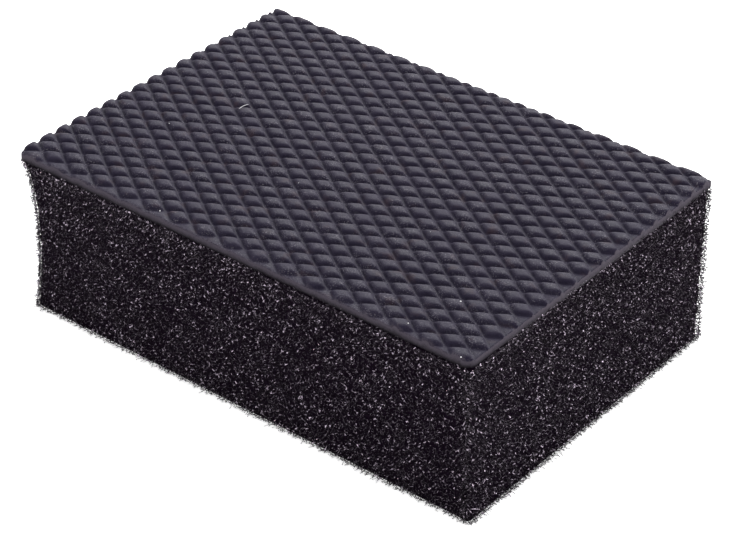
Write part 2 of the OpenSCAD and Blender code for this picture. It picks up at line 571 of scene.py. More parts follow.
def strut_solids(first, last, first_width, last_width, channel):
    """Each strut as a closed solid of four triangles: an edge as wide as the strut across one end,
    and an edge square to it across the other, turned at random about the strut."""
    along = last - first
    size = np.linalg.norm(along, axis=1, keepdims=True)
    along = along / size
    seed = np.stack([np.arange(len(first))] * 3, -1)
    wild = np.stack([stirred(seed, channel + axis) for axis in range(3)], -1) - 0.5
    across = np.cross(along, wild)
    across = across / np.linalg.norm(across, axis=1, keepdims=True)
    other = np.cross(along, across)
    near, far = first_width[:, None] / 2, last_width[:, None] / 2
    corners = [
        first + near * (across - along / 2),
        first - near * (across + along / 2),
        last + far * (other + along / 2),
        last - far * (other - along / 2),
    ]
    points = np.stack(corners, 1).reshape(-1, 3)
    faces = np.array([[0, 1, 2], [1, 0, 3], [2, 3, 0], [3, 2, 1]])
    faces = (np.arange(len(first))[:, None, None] * 4 + faces[None]).reshape(-1, 3)
    return points, faces


def map_struts(mesh, count):
    """A map for baking: each strut has its own square in a grid, its first end at the left and its
    last at the right, and its four faces share that square, because their colours differ only along
    the strut."""
    side = math.ceil(math.sqrt(count))
    square = np.stack([np.arange(count) % side, np.arange(count) // side], -1)
    corner = np.array([[0.2, 0.2], [0.2, 0.8], [0.8, 0.2], [0.8, 0.8]])
    places = ((square[:, None] + corner[None]) / side).reshape(-1, 2)
    index = np.zeros(len(mesh.loops), np.int32)
    mesh.loops.foreach_get("vertex_index", index)
    baked = mesh.uv_layers.new(name="OFBake")
    baked.uv.foreach_set("vector", places[index].astype(np.float32).ravel())


def glint_chance(places, sizes, look):
    """Chance that the strut at each place shines, a painted highlight in its colour: larger around
    the front right edge, where painted glints line the upright edge, as a bell curve."""
    from_edge = np.hypot(places[:, 0] - PAD_BOX[1].x, places[:, 1] - PAD_BOX[0].y)
    # Bell curve of painted glints around the front right edge.
    wear_and_glint = np.exp(-((from_edge / sizes.glint_edge_w) ** 2))
    return look.glint_share * (1 + look.edge_glints * wear_and_glint)


# Tone of a strut that shines, a painted glint, from the least on, and what share of its tone is left
# at its last end.
GLINT_TONE, GLINT_CHANGE = 0.85, 0.3
END_TONE, END_CHANGE = 0.05, 0.65


def strut_tones(chance, look, series):
    """Tones from 0 to 1 of each strut's two ends. Their logarithm is normal: most are dark and few
    are pale, partly the struts' own random tone and partly painted highlight. The normal number comes
    from two even ones, by the root of a logarithm times a cosine. A few more struts shine as painted
    glints. The tone of the last end is a random share of the first's."""
    seed = seeds(len(chance), series)
    even = np.maximum(stirred(seed, 43), 1e-9)
    normal = np.sqrt(-2 * np.log(even)) * np.cos(2 * math.pi * stirred(seed, 44))
    tones = np.minimum(np.exp(look.tone_spread * (normal - look.tone_peak)), 1)
    glint = GLINT_TONE + GLINT_CHANGE * stirred(seed, 46)
    tones = np.where(stirred(seed, 45) < chance, glint, tones)
    return tones, tones * (END_TONE + END_CHANGE * stirred(seed, 47))


def clipped(first, last, inside_first, inside_last):
    """Struts cut off where they leave the foam: an end that lies outside moves along the strut to
    the place where the depth, taken as straight between both ends, is zero."""
    cut = inside_first / (inside_first - inside_last + 1e-12)
    new_last = np.where((inside_last < 0)[:, None], first + (last - first) * cut[:, None], last)
    new_first = np.where((inside_first < 0)[:, None], first + (last - first) * cut[:, None], first)
    return new_first, new_last


# How high the roots of the foot's loose ends lie at most, how deep any root lies at most, and how
# far a tip stays above the ground.
FRINGE_RISE = 0.9 * MM
FRINGE_ROOT = 0.30 * MM
FRINGE_GROUND = 0.03 * MM
# How far a loose end strays, as a share of its length, and the shortest one, as a share of the
# longest.
FRINGE_STRAY = 0.9
FRINGE_SHORTEST = 0.25


def fringe_ends(sizes):
    """Loose ends of torn struts along the foot's edges and the upright ones: their roots and tips.
    A root starts at random near an edge on a plain outline, moves along the outline's normal to the
    foam's side and a little under it, and its tip stands off outwards and astray."""
    top_z = FOAM_BOX[1].z
    radius = sizes.front_left_r
    ring, normal = rounded_outline(FOAM_BOX[1].x, FOAM_BOX[1].y, radius, sizes.fringe_step)
    seed = seeds(len(ring))
    low = np.column_stack([ring, FRINGE_RISE * stirred(seed, 71) ** 2])
    count = round(2 * top_z / sizes.fringe_step)
    seed = np.stack([np.tile(np.arange(count), 4), np.repeat(np.arange(4), count)], -1)
    bearing = math.pi / 2 * (seed[:, 1] + stirred(seed, 72))
    out = np.stack([np.cos(bearing), np.sin(bearing)], -1)
    half = np.array([FOAM_BOX[1].x, FOAM_BOX[1].y]) - radius
    corner = np.where(out > 0, half, -half) + out * radius
    high = np.column_stack([corner, (seed[:, 0] + 0.5) * top_z / count])
    root, out = np.concatenate([low, high]), np.concatenate([normal, out])
    for _ in range(SETTLE_STEPS):
        root[:, :2] += out * side_depth(root, sizes)[:, None]
    seed = np.stack([np.arange(len(root))] * 2, -1)
    root[:, :2] -= out * (FRINGE_ROOT * stirred(seed, 77))[:, None]
    stray = np.stack([stirred(seed, channel) for channel in (73, 74, 75)], -1) * 2 - 1
    reach = sizes.fringe_l * (FRINGE_SHORTEST + (1 - FRINGE_SHORTEST) * stirred(seed, 76) ** 1.5)
    way = np.column_stack([out, np.zeros(len(out))]) + FRINGE_STRAY * stray
    tip = root + way * reach[:, None]
    tip[:, 2] = np.maximum(tip[:, 2], FOAM_BOX[0].z + FRINGE_GROUND)
    return root, tip


# Power by which the foot's extra fray falls upwards, and how far inside the surface the smoothest
# places lie, as a share of the fray.
FOOT_POWER = 8
FRAY_BACK = 0.15


def layer_struts(sizes):
    """The struts of the sides' and the foot's layers, cut off at the frayed surface, at the ground
    and under the pad: their two ends, their middles, how deep these lie under the sides, and
    whether they belong to a side. In front and at the right, single tufts stand up past the pad's
    underside."""

    def layer_depth(points):
        """Depth under the nearest of the sides and the foot."""
        return np.minimum(side_depth(points, sizes), points[:, 2])

    top_z = FOAM_BOX[1].z - PAD_GAP
    places, (first, last) = web_struts(sizes, layer_depth, sizes.side_layer)
    depth = side_depth(places, sizes)
    tuft = 0.5 + 0.5 * smooth_noise(places, sizes.fray_size, 31)
    low_down = (1 - np.clip(places[:, 2] / top_z, 0, 1)) ** FOOT_POWER
    fray = sizes.fray * (1 + sizes.foot_fray * low_down)
    inside = np.minimum(depth + fray * (tuft * tuft - FRAY_BACK), places[:, 2])
    in_front = (places[:, 1] < PAD_BOX[0].y) | (places[:, 0] > PAD_BOX[1].x)
    inside = np.minimum(inside, top_z + sizes.bristles * tuft * in_front - places[:, 2])
    middle = (places[first] + places[last]) / 2
    sideways = (depth[first] + depth[last]) / 2
    in_side = sideways < sizes.side_layer
    in_foot = (middle[:, 2] < sizes.foot_layer) & ~in_side
    kept = (in_side | in_foot) & ((inside[first] > 0) | (inside[last] > 0))
    struts = (first, last, middle, sideways, in_side)
    first, last, middle, sideways, in_side = (v[kept] for v in struts)
    a, b = clipped(places[first], places[last], inside[first], inside[last])
    kept = np.linalg.norm(b - a, axis=1) > SHORTEST
    return [v[kept] for v in (a, b, middle, sideways, in_side)]


# Width of a strut as a share of the plain one, from the least on, and what share of it is left
# where the strut stands up out of the surface by the whole fray.
WIDTH_LEAST, WIDTH_CHANGE = 0.6, 0.5
PROUD_WIDTH = 0.3
# First of the channels that turn the struts about themselves: each piece has three.
TURN_CHANNEL = 50


class SPONGE_OT_foam_web(bpy.types.Operator):
    """Build the web of cell struts on the foam's four sides and its foot, and its fringe of loose
    ends"""

    bl_idname = "sponge.foam_web"
    bl_label = "Foam web"

    def execute(self, context):
        sizes = context.scene.sponge_foam
        look = context.scene.sponge_foam_look
        a, b, middle, sideways, in_side = layer_struts(sizes)
        deep_x, deep_y = side_depths(middle, sizes)
        on_x = deep_x < deep_y
        sides = {
            "foam_front": in_side & ~on_x & (middle[:, 1] < 0),
            "foam_right": in_side & on_x & (middle[:, 0] > 0),
            "foam_back": in_side & ~on_x & (middle[:, 1] > 0),
            "foam_left": in_side & on_x & (middle[:, 0] < 0),
            "foam_foot": ~in_side,
        }
        pieces = {}
        for number, (name, here) in enumerate(sides.items()):
            seed = seeds(here.sum(), number)
            buried = np.where(in_side[here], np.clip(1 + sideways[here] / sizes.fray, 0, 1), 1)
            width = sizes.strut_w * (WIDTH_LEAST + WIDTH_CHANGE * stirred(seed, 41))
            width = width * (PROUD_WIDTH + (1 - PROUD_WIDTH) * buried)
            pieces[name] = (a[here], b[here], width)
        root, tip = fringe_ends(sizes)
        pieces["foam_fringe"] = (root, tip, np.full(len(root), sizes.fringe_w))
        material = strut_material(context)
        for number, (name, (first, last, width)) in enumerate(pieces.items()):
            count = len(first)
            chance = glint_chance(first, sizes, look) * (name != "foam_fringe")
            first_tone, last_tone = strut_tones(chance, look, number)
            first_width = width * (1 + sizes.pale_swell * first_tone)
            last_width = width * (1 + sizes.pale_swell * last_tone)
            channel = TURN_CHANNEL + 3 * number
            points, faces = strut_solids(first, last, first_width, last_width, channel)
            points[:, 2] = np.clip(points[:, 2], FOAM_BOX[0].z, None)
            piece = put_mesh(name, points, faces)
            tone = piece.data.attributes.new("tone", "FLOAT", "POINT")
            tones = np.stack([first_tone, first_tone, last_tone, last_tone], -1)
            tone.data.foreach_set("value", tones.astype(np.float32).ravel())
            map_struts(piece.data, count)
            piece.data.materials.append(material)
            finish_piece(piece, "foam", "foam_block")
        return {"FINISHED"}


# ---------------------------------------------------------------- clay pad


def lattice_axes(sizes):
    """Turn of the lattice, distance between grooves, and half the angle between the two
    families."""
    half = math.atan2(sizes.pitch_y, sizes.pitch_x)
    return sizes.lattice_turn, sizes.pitch_y * math.cos(half), half


def to_lattice(x, y, sizes):
    """Distances of points across both families of grooves, from a pillow's centre."""
    turn, _, half = lattice_axes(sizes)
    dx, dy = x - sizes.lattice_x, y - sizes.lattice_y
    u = dx * math.cos(turn) + dy * math.sin(turn)
    v = dy * math.cos(turn) - dx * math.sin(turn)
    return v * math.cos(half) - u * math.sin(half), v * math.cos(half) + u * math.sin(half)


def from_lattice(across_a, across_b, sizes):
    """Places whose distances across both families of grooves are these."""
    turn, _, half = lattice_axes(sizes)
    u = (across_b - across_a) / (2 * math.sin(half))
    v = (across_a + across_b) / (2 * math.cos(half))
    x = u * math.cos(turn) - v * math.sin(turn) + sizes.lattice_x
    y = u * math.sin(turn) + v * math.cos(turn) + sizes.lattice_y
    return x, y


def rise(across, sizes):
    """Share of the height at a distance across one family of grooves: 1 minus the distance from the
    crest to a power, and that to a second power, and 0 on the groove's floor."""
    _, pitch, _ = lattice_axes(sizes)
    off = np.abs(across - pitch * np.round(across / pitch)) / ((pitch - sizes.groove_w) / 2)
    return np.maximum(1 - np.minimum(off, 1) ** sizes.crown, 0) ** sizes.flank


def pad_inside(x, y, sizes):
    """How far places lie inside the pad's outline, with its own radius at each corner."""
    low, high = PAD_BOX
    back = np.where(x > 0, sizes.back_right_r, sizes.back_left_r)
    front = np.where(x > 0, sizes.front_right_r, sizes.front_left_r)
    deep_x, deep_y = np.minimum(high.x - x, x - low.x), np.minimum(high.y - y, y - low.y)
    return rounded_depth(deep_x, deep_y, np.where(y > 0, back, front))


# The right side presses the pillows this many times less far in than the front, a pressed pillow
# keeps at least this share of its height, and the pillows along the back are lower by this share.
RIGHT_PRESS = 5
LEAST_RISE = 0.12
BACK_DROP = 0.12
# Sizes of the slow waves in the skin and of the lattice's warp.
WAVE_SIZE = 2.3 * MM
PAD_WARP_SIZE = 2.7 * MM


def pad_height(x, y, sizes):
    """Height of the moulded skin: the sheet's level plus the pillow's height times the rise across
    both families of grooves. Each pillow's height differs a little, and slow waves run through the
    whole skin. The shears pressed the pillows flat whose centres lie near the front or the right.
    Along the back the grooves are partly filled, and all around the rim is rounded down by the
    square of the nearness to it."""
    _, pitch, _ = lattice_axes(sizes)
    a, b = to_lattice(x, y, sizes)
    pillow = np.stack([np.round(a / pitch), np.round(b / pitch)], -1)
    centre_x, centre_y = from_lattice(pillow[..., 0] * pitch, pillow[..., 1] * pitch, sizes)
    nearest = np.minimum(centre_y - PAD_BOX[0].y, RIGHT_PRESS * (PAD_BOX[1].x - centre_x))
    free = np.clip(nearest / sizes.press_w, LEAST_RISE, 1)
    far = np.clip(1 - (PAD_BOX[1].y - y) / sizes.press_w, 0, 1)
    even = 1 - sizes.unevenness * stirred(pillow, 61)
    height = sizes.pillow_h * even * free * (1 - BACK_DROP * far)
    sheet = PAD_BOX[1].z - sizes.pillow_h
    wave = smooth_noise(np.stack([x, y], -1), WAVE_SIZE, 62) - 1
    roll = sizes.roll * np.clip(1 - pad_inside(x, y, sizes) / sizes.roll_w, 0, 1) ** 2
    filled = sizes.back_fill * far
    share_up = filled + (1 - filled) * rise(a, sizes) * rise(b, sizes)
    return sheet + height * share_up + sizes.waviness * wave - roll


# How far the mesh lines next to a pillow's crest are drawn towards it, as a share.
CREST_DRAW = 0.1


def lattice_lines(sizes):
    """Where the mesh lines lie across a family of grooves: in each pillow the steps shorten towards
    the groove as the sine of an even angle does, and one line runs along the middle of the
    groove."""
    _, pitch, _ = lattice_axes(sizes)
    reach = (PAD_BOX[1] - PAD_BOX[0]).length / 2 + 2 * sizes.pitch_x
    count = math.ceil(reach / pitch)
    edge = (pitch - sizes.groove_w) / 2
    even = np.linspace(-1, 1, 2 * sizes.steps + 1)
    drawn = 1 - CREST_DRAW + CREST_DRAW * np.abs(even)
    within = np.append(edge * np.sin(even * math.pi / 2) * drawn, pitch / 2)
    return (np.arange(-count, count + 1)[:, None] * pitch + within[None]).ravel()


# How far outside the pad the skin's grid goes before it is cut.
SKIN_SPARE = 1.5 * MM


def pad_top(sizes):
    """The skin before it is cut: the points of a grid along the grooves that lie near the pad, with
    their heights, shifted a little off the even lattice by slow noise."""
    line = lattice_lines(sizes)
    a, b = np.meshgrid(line, line, indexing="ij")
    x, y = from_lattice(a, b, sizes)
    low, high = PAD_BOX
    near_x = (x > low.x - SKIN_SPARE) & (x < high.x + SKIN_SPARE)
    near = near_x & (y > low.y - SKIN_SPARE) & (y < high.y + SKIN_SPARE)
    faces = grid_faces(*a.shape, closed=False)
    faces = faces[near.ravel()[faces].any(1)]
    used, faces = np.unique(faces, return_inverse=True)
    x, y = x.ravel()[used], y.ravel()[used]
    place = np.stack([x, y], -1)
    warp = np.stack([smooth_noise(place, PAD_WARP_SIZE, channel) for channel in (63, 64)], -1)
    points = np.column_stack([place + sizes.warp * warp, pad_height(x, y, sizes)])
    return points, faces.reshape(-1, 4)


def lean(out_x, out_y, sizes):
    """Slope of the cut that faces this way: how far it runs outwards for each unit that it goes
    down."""
    front = math.tan(sizes.front_lean) * np.maximum(0, -out_y)
    return front + math.tan(sizes.right_lean) * np.maximum(0, out_x)


def pad_cuts(sizes):
    """The flat cuts that give the pad its outline, each a place and an outward direction: those of
    the front and the right lean, the others are upright, and a few cuts round each corner."""
    low, high = PAD_BOX
    base = FOAM_BOX[1].z
    quarters = [
        (high.x, high.y, 0, sizes.back_right_r),
        (low.x, high.y, 90, sizes.back_left_r),
        (low.x, low.y, 180, sizes.front_left_r),
        (high.x, low.y, 270, sizes.front_right_r),
    ]
    cuts = []
    for x, y, start, radius in quarters:
        inward = Vector((-math.copysign(radius, x), -math.copysign(radius, y), 0))
        for number in range(sizes.corner_cuts + 1):
            bearing = math.radians(start + 90 * number / (sizes.corner_cuts + 1))
            outward = Vector((math.cos(bearing), math.sin(bearing), 0))
            slope = Vector((0, 0, float(lean(outward.x, outward.y, sizes))))
            place = Vector((x, y, base)) + inward + outward * radius
            cuts.append((place, (outward + slope).normalized()))
    return cuts


# Rows of the cut edge, as shares of the way down from the rim, and the distance over which the
# rim's direction is taken.
WALL_STEPS = np.array([0, 0.04, 0.14, 0.3, 0.6, 1.0])
RIM_STEP = 0.02 * MM


def pad_walls(rim, sizes):
    """Rows of points from the rim down to the pad's underside. Going down, a point moves outwards
    by as much as the cut leans there, as a quarter of an ellipse: first outwards, at last straight
    down."""
    x, y, z = rim.T
    out_x = pad_inside(x - RIM_STEP, y, sizes) - pad_inside(x + RIM_STEP, y, sizes)
    out_y = pad_inside(x, y - RIM_STEP, sizes) - pad_inside(x, y + RIM_STEP, sizes)
    size = np.hypot(out_x, out_y) + 1e-12
    out_x, out_y = out_x / size, out_y / size
    band = z - FOAM_BOX[1].z
    t = WALL_STEPS[:, None]
    shift = band * lean(out_x, out_y, sizes) * np.sqrt(1 - (1 - t) ** 2)
    low, high = PAD_BOX
    x, y = np.minimum(x + out_x * shift, high.x), np.maximum(y + out_y * shift, low.y)
    return np.stack([x, y, z - band * t], -1)


def cut_skin(sizes):
    """The skin cut to the pad's outline: its points, its triangles, and the numbers of the points
    on its rim in order around the pad."""
    piece = put_mesh("clay_pad_skin", *pad_top(sizes))
    skin = bmesh.new()
    skin.from_mesh(piece.data)
    bpy.data.objects.remove(piece)
    for place, outward in pad_cuts(sizes):
        whole = skin.verts[:] + skin.edges[:] + skin.faces[:]
        bmesh.ops.bisect_plane(
            skin, geom=whole, plane_co=place, plane_no=outward, clear_outer=True, dist=1e-8
        )
    skin.verts.index_update()
    rim = {v for e in skin.edges if e.is_boundary for v in e.verts}
    rim = sorted(rim, key=lambda v: math.atan2(v.co.y, v.co.x))
    bmesh.ops.triangulate(skin, faces=skin.faces[:])
    places = np.array([v.co for v in skin.verts])
    triangles = np.array([[v.index for v in f.verts] for f in skin.faces])
    rim = np.array([v.index for v in rim])
    skin.free()
    return places, triangles, rim


# How many times faster the cut edge's finish fades out on the skin at the right than at the front,
# and at the back, where the paler rim is partly the cut's finish and partly a painted highlight on
# the outermost crests. The stage of the cut is 0 on the skin, this much at the rim, 1 on the edge and
# 2 at the edge's foot, and at the right, in a strip this wide, it goes this share of the way from 1
# to 2.
RIGHT_FADE, BACK_FADE = 6, 0.7
RIM_STAGE = 0.6
RIGHT_STRIP = 0.3 * MM
RIGHT_STAGE = 0.75


def skin_stage(places, sizes):
    """Stage of the cut on the skin: falls evenly from the rim to nothing. Along the back its paler
    rim is partly the cut's finish and partly a painted highlight on the outermost crests.
    """
    x, y, _ = places.T
    low, high = PAD_BOX
    inside = np.minimum(np.minimum(y - low.y, x - low.x), RIGHT_FADE * (high.x - x))
    # Along the back the wider pale rim is a painted highlight on the outermost crests.
    inside = np.minimum(inside, BACK_FADE * (high.y - y))
    return RIM_STAGE * np.clip(1 - inside / sizes.fade, 0, 1)


class SPONGE_OT_clay_pad(bpy.types.Operator):
    """Build the embossed clay pad with its sheared edge"""

    bl_idname = "sponge.clay_pad"
    bl_label = "Clay pad"

    def execute(self, context):
        sizes = context.scene.sponge_pad
        skin, triangles, rim = cut_skin(sizes)
        rows = pad_walls(skin[rim], sizes)[1:]
        start, count = len(skin), len(rim)
        centre = start + len(rows) * count
        grid = np.concatenate([rim[None], np.arange(start, centre).reshape(-1, count)])
        after = np.roll(grid, -1, axis=1)
        walls = [
            np.stack([grid[1:], after[1:], after[:-1]], -1).reshape(-1, 3),
            np.stack([grid[1:], after[:-1], grid[:-1]], -1).reshape(-1, 3),
        ]
        under = np.stack([after[-1], grid[-1], np.full(count, centre)], -1)
        points = np.concatenate([skin, rows.reshape(-1, 3), [[0, 0, FOAM_BOX[1].z]]])
        faces = np.concatenate([triangles, *walls, under])
        piece = put_mesh("clay_pad_skin", points, faces)
        piece.data.polygons.foreach_set("use_smooth", np.ones(len(faces), bool))
        stage = np.ones(len(points), np.float32)
        stage[:start] = skin_stage(skin, sizes)
        on_right = rows[..., 0].ravel() > PAD_BOX[1].x - RIGHT_STRIP
        stage[start:centre] += np.repeat(WALL_STEPS[1:], count) * np.where(on_right, RIGHT_STAGE, 1)
        piece.data.attributes.new("cut", "FLOAT", "POINT").data.foreach_set("value", stage)
        piece.data.materials.append(pad_material(context))
        finish_piece(piece, "clay_pad", "clay_pad")
        return {"FINISHED"}


# ---------------------------------------------------------------- dust

# Where specks lie on the pad, from its centre, and how wide they are, in millimetres.
SPECKS = [
    (-32.8, -10.2, 0.16),
    (-15.2, -19.4, 0.16),
    (-16.0, -30.3, 0.22),
    (33.5, -30.3, 0.22),
    (36.0, -21.0, 0.24),
    (44.3, -31.8, 0.20),
    (12.0, 8.0, 0.12),
    (-4.0, -11.0, 0.10),
    (21.0, -9.0, 0.10),
]

# Rings of a grain of dust, points on each, and all of its points with the two poles.
GRAIN_RINGS, GRAIN_SIDES = 5, 8
GRAIN_POINTS = GRAIN_RINGS * GRAIN_SIDES + 2
# Height of a grain, and of its centre above the skin, both as shares of its width, and how far its
# points are pushed out, from the least on.
GRAIN_FLAT, GRAIN_LIFT = 0.7, 0.25
GRAIN_LEAST, GRAIN_CHANGE = 0.65, 0.7

# Where the lint fibre starts and ends on the pad, how far it bows as a share of its length, its
# thickest radius and what share of it the ends have, how far it lies above the highest pillow that
# it crosses, how far its free end lifts more, and its rings and the points on each.
LINT_START = np.array([-26.9, 0.5]) * MM
LINT_END = np.array([-26.5, 2.6]) * MM
LINT_BOW = 0.10
LINT_RADIUS = 0.036 * MM
LINT_THIN = 0.35
LINT_GAP, LINT_LIFT = 0.03 * MM, 0.12 * MM
LINT_STEPS, LINT_SIDES = 15, 6


def speck_points(x, y, width, number):
    """A grain of dust: a flattened globe of rings and two poles, each point pushed out or in at
    random."""
    z = float(pad_height(np.array([x]), np.array([y]), bpy.context.scene.sponge_pad)[0])
    rings = np.linspace(-1, 1, GRAIN_RINGS + 2)[1:-1]
    around = np.linspace(0, 2 * math.pi, GRAIN_SIDES, endpoint=False)
    level, bearing = np.meshgrid(rings, around, indexing="ij")
    flat = np.sqrt(1 - level**2)
    ball = np.stack([flat * np.cos(bearing), flat * np.sin(bearing), GRAIN_FLAT * level], -1)
    ball = np.concatenate([ball.reshape(-1, 3), [[0, 0, -GRAIN_FLAT], [0, 0, GRAIN_FLAT]]])
    seed = seeds(len(ball), number)
    ball = ball * (GRAIN_LEAST + GRAIN_CHANGE * stirred(seed, 71))[:, None]
    return ball * width / 2 + [x, y, z + GRAIN_LIFT * width]


def lint_points(sizes):
    """The lint fibre's grid and its two poles: a tube around a line that bows as half a sine wave
    between its two ends, and whose radius falls towards both."""
    t = np.linspace(0, 1, LINT_STEPS)
    way = LINT_END - LINT_START
    bow = np.array([-way[1], way[0]]) * LINT_BOW * np.sin(math.pi * t)[:, None]
    line = LINT_START + way * t[:, None] + bow
    ground = pad_height(line[:, 0], line[:, 1], sizes).max()
    line = np.column_stack([line, ground + LINT_GAP + LINT_LIFT * t])
    along = np.gradient(line, axis=0)
    along /= np.linalg.norm(along, axis=1, keepdims=True)
    side = np.cross(along, [0, 0, 1.0])
    side /= np.linalg.norm(side, axis=1, keepdims=True)
    lift = np.cross(side, along)
    turn = np.linspace(0, 2 * math.pi, LINT_SIDES, endpoint=False)[None, :, None]
    radius = LINT_RADIUS * (LINT_THIN + (1 - LINT_THIN) * np.sin(math.pi * t) ** 0.5)
    ring = np.cos(turn) * side[:, None] + np.sin(turn) * lift[:, None]
    tube = line[:, None] + ring * radius[:, None, None]
    return np.concatenate([tube.reshape(-1, 3), [tube[0].mean(0), tube[-1].mean(0)]])


class SPONGE_OT_dust(bpy.types.Operator):
    """Build the few grains of dust and the lint fibre on the pad"""

    bl_idname = "sponge.dust"
    bl_label = "Dust"

    def execute(self, context):
        material = dust_material(context)
        points = [speck_points(x * MM, y * MM, w * MM, n) for n, (x, y, w) in enumerate(SPECKS)]
        one = closed_faces(GRAIN_RINGS, GRAIN_SIDES)
        faces = [one + GRAIN_POINTS * number for number in range(len(SPECKS))]
        grains = put_mesh("dust_grains", np.concatenate(points), np.concatenate(faces))
        faces = closed_faces(LINT_STEPS, LINT_SIDES)
        lint = put_mesh("lint_fibre", lint_points(context.scene.sponge_pad), faces)
        lint.data.polygons.foreach_set("use_smooth", np.ones(len(faces), bool))
        for piece in (grains, lint):
            piece.data.materials.append(material)
            finish_piece(piece, None)
        return {"FINISHED"}


# ---------------------------------------------------------------- shader maths


class Value:
    """A socket with numbers, whose arithmetic adds Math nodes."""

    def __init__(self, nodes, socket):
        self.nodes = nodes
        self.socket = socket

    def math(self, operation, *others):
        """A Math node on this value and others."""
        made = self.nodes.add("ShaderNodeMath", {"operation": operation}, [self, *others])
        return Value(self.nodes, made.outputs[0])

    def __add__(self, other):
        return self.math("ADD", other)

    def __radd__(self, other):
        return self.math("ADD", other)

    def __sub__(self, other):
        return self.math("SUBTRACT", other)

    def __rsub__(self, other):
        made = self.nodes.add("ShaderNodeMath", {"operation": "SUBTRACT"}, [other, self])
        return Value(self.nodes, made.outputs[0])

    def __mul__(self, other):
        return self.math("MULTIPLY", other)

    def __rmul__(self, other):
        return self.math("MULTIPLY", other)

    def clamped(self):
        """This value kept from 0 to 1."""
        made = self.nodes.add("ShaderNodeClamp", {}, [self])
        return Value(self.nodes, made.outputs[0])


class Nodes:
    """The nodes of one material with a single shader."""

    def __init__(self, name):
        self.material = bpy.data.materials.new(name)
        self.material.use_nodes = True
        self.tree = self.material.node_tree
        self.tree.nodes.clear()
        self.shader = self.add("ShaderNodeBsdfPrincipled")
        output = self.add("ShaderNodeOutputMaterial")
        self.tree.links.new(self.shader.outputs[0], output.inputs["Surface"])
        self.place = self.add("ShaderNodeTexCoord").outputs["Object"]

    def add(self, kind, settings=None, values=()):
        """A node of this type: its settings first, then the values or links of its sockets, given
        in order or by name."""
        node = self.tree.nodes.new(kind)
        for key, setting in (settings or {}).items():
            setattr(node, key, setting)
        pairs = values.items() if isinstance(values, dict) else enumerate(values)
        for key, value in pairs:
            self.connect(value, node.inputs[key])
        return node

    def connect(self, value, socket):
        """Links a value or a socket to an input, or sets the input to a plain number or colour."""
        source = value.socket if isinstance(value, Value) else value
        if isinstance(source, bpy.types.NodeSocket):
            self.tree.links.new(source, socket)
        elif isinstance(source, (tuple, list)) and len(source) == 3 and socket.type == "RGBA":
            socket.default_value = (*source, 1.0)
        else:
            socket.default_value = source

    def noise(self, size, detail=2.0, roughness=0.5):
        """Noise from 0 to 1 with features of about this size, in metres."""
        values = {"Vector": self.place, "Scale": 1 / size, "Detail": detail, "Roughness": roughness}
        return Value(self, self.add("ShaderNodeTexNoise", {}, values).outputs["Fac"])

    def cells(self, size):
        """Distance from the nearest wall between random cells of about this size, in metres."""
        values = {"Vector": self.place, "Scale": 1 / size}
        made = self.add("ShaderNodeTexVoronoi", {"feature": "DISTANCE_TO_EDGE"}, values)
        return Value(self, made.outputs["Distance"])

    def attribute(self, name):
        """A number stored on the piece's points."""
        settings = {"attribute_name": name, "attribute_type": "GEOMETRY"}
        return Value(self, self.add("ShaderNodeAttribute", settings).outputs["Fac"])

    def mix(self, factor, first, second):
        """A colour between two, by a factor from 0 to 1. A Mix node has its colours in the inputs 6
        and 7 and in the output 2."""
        made = self.add("ShaderNodeMix", {"data_type": "RGBA"})
        self.connect(factor, made.inputs[0])
        self.connect(first, made.inputs[6])
        self.connect(second, made.inputs[7])
        return made.outputs[2]

    def spread(self, value, low, high):
        """A value's range from low to high, stretched to 0 to 1 and kept there."""
        values = {"Value": value, "From Min": low, "From Max": high}
        made = self.add("ShaderNodeMapRange", {"clamp": True}, values)
        return Value(self, made.outputs["Result"])

    def bump(self, height, strength, distance):
        """A normal from a height from 0 to 1, with this distance in metres for a height of 1."""
        values = {"Strength": strength, "Distance": distance, "Height": height}
        return self.add("ShaderNodeBump", {}, values).outputs["Normal"]

    def finish(self, **sockets):
        """Sets the shader's sockets, named with spaces as underscores, and returns the material."""
        for key, value in sockets.items():
            self.connect(value, self.shader.inputs[key.replace("_", " ")])
        return self.material


# ---------------------------------------------------------------- materials


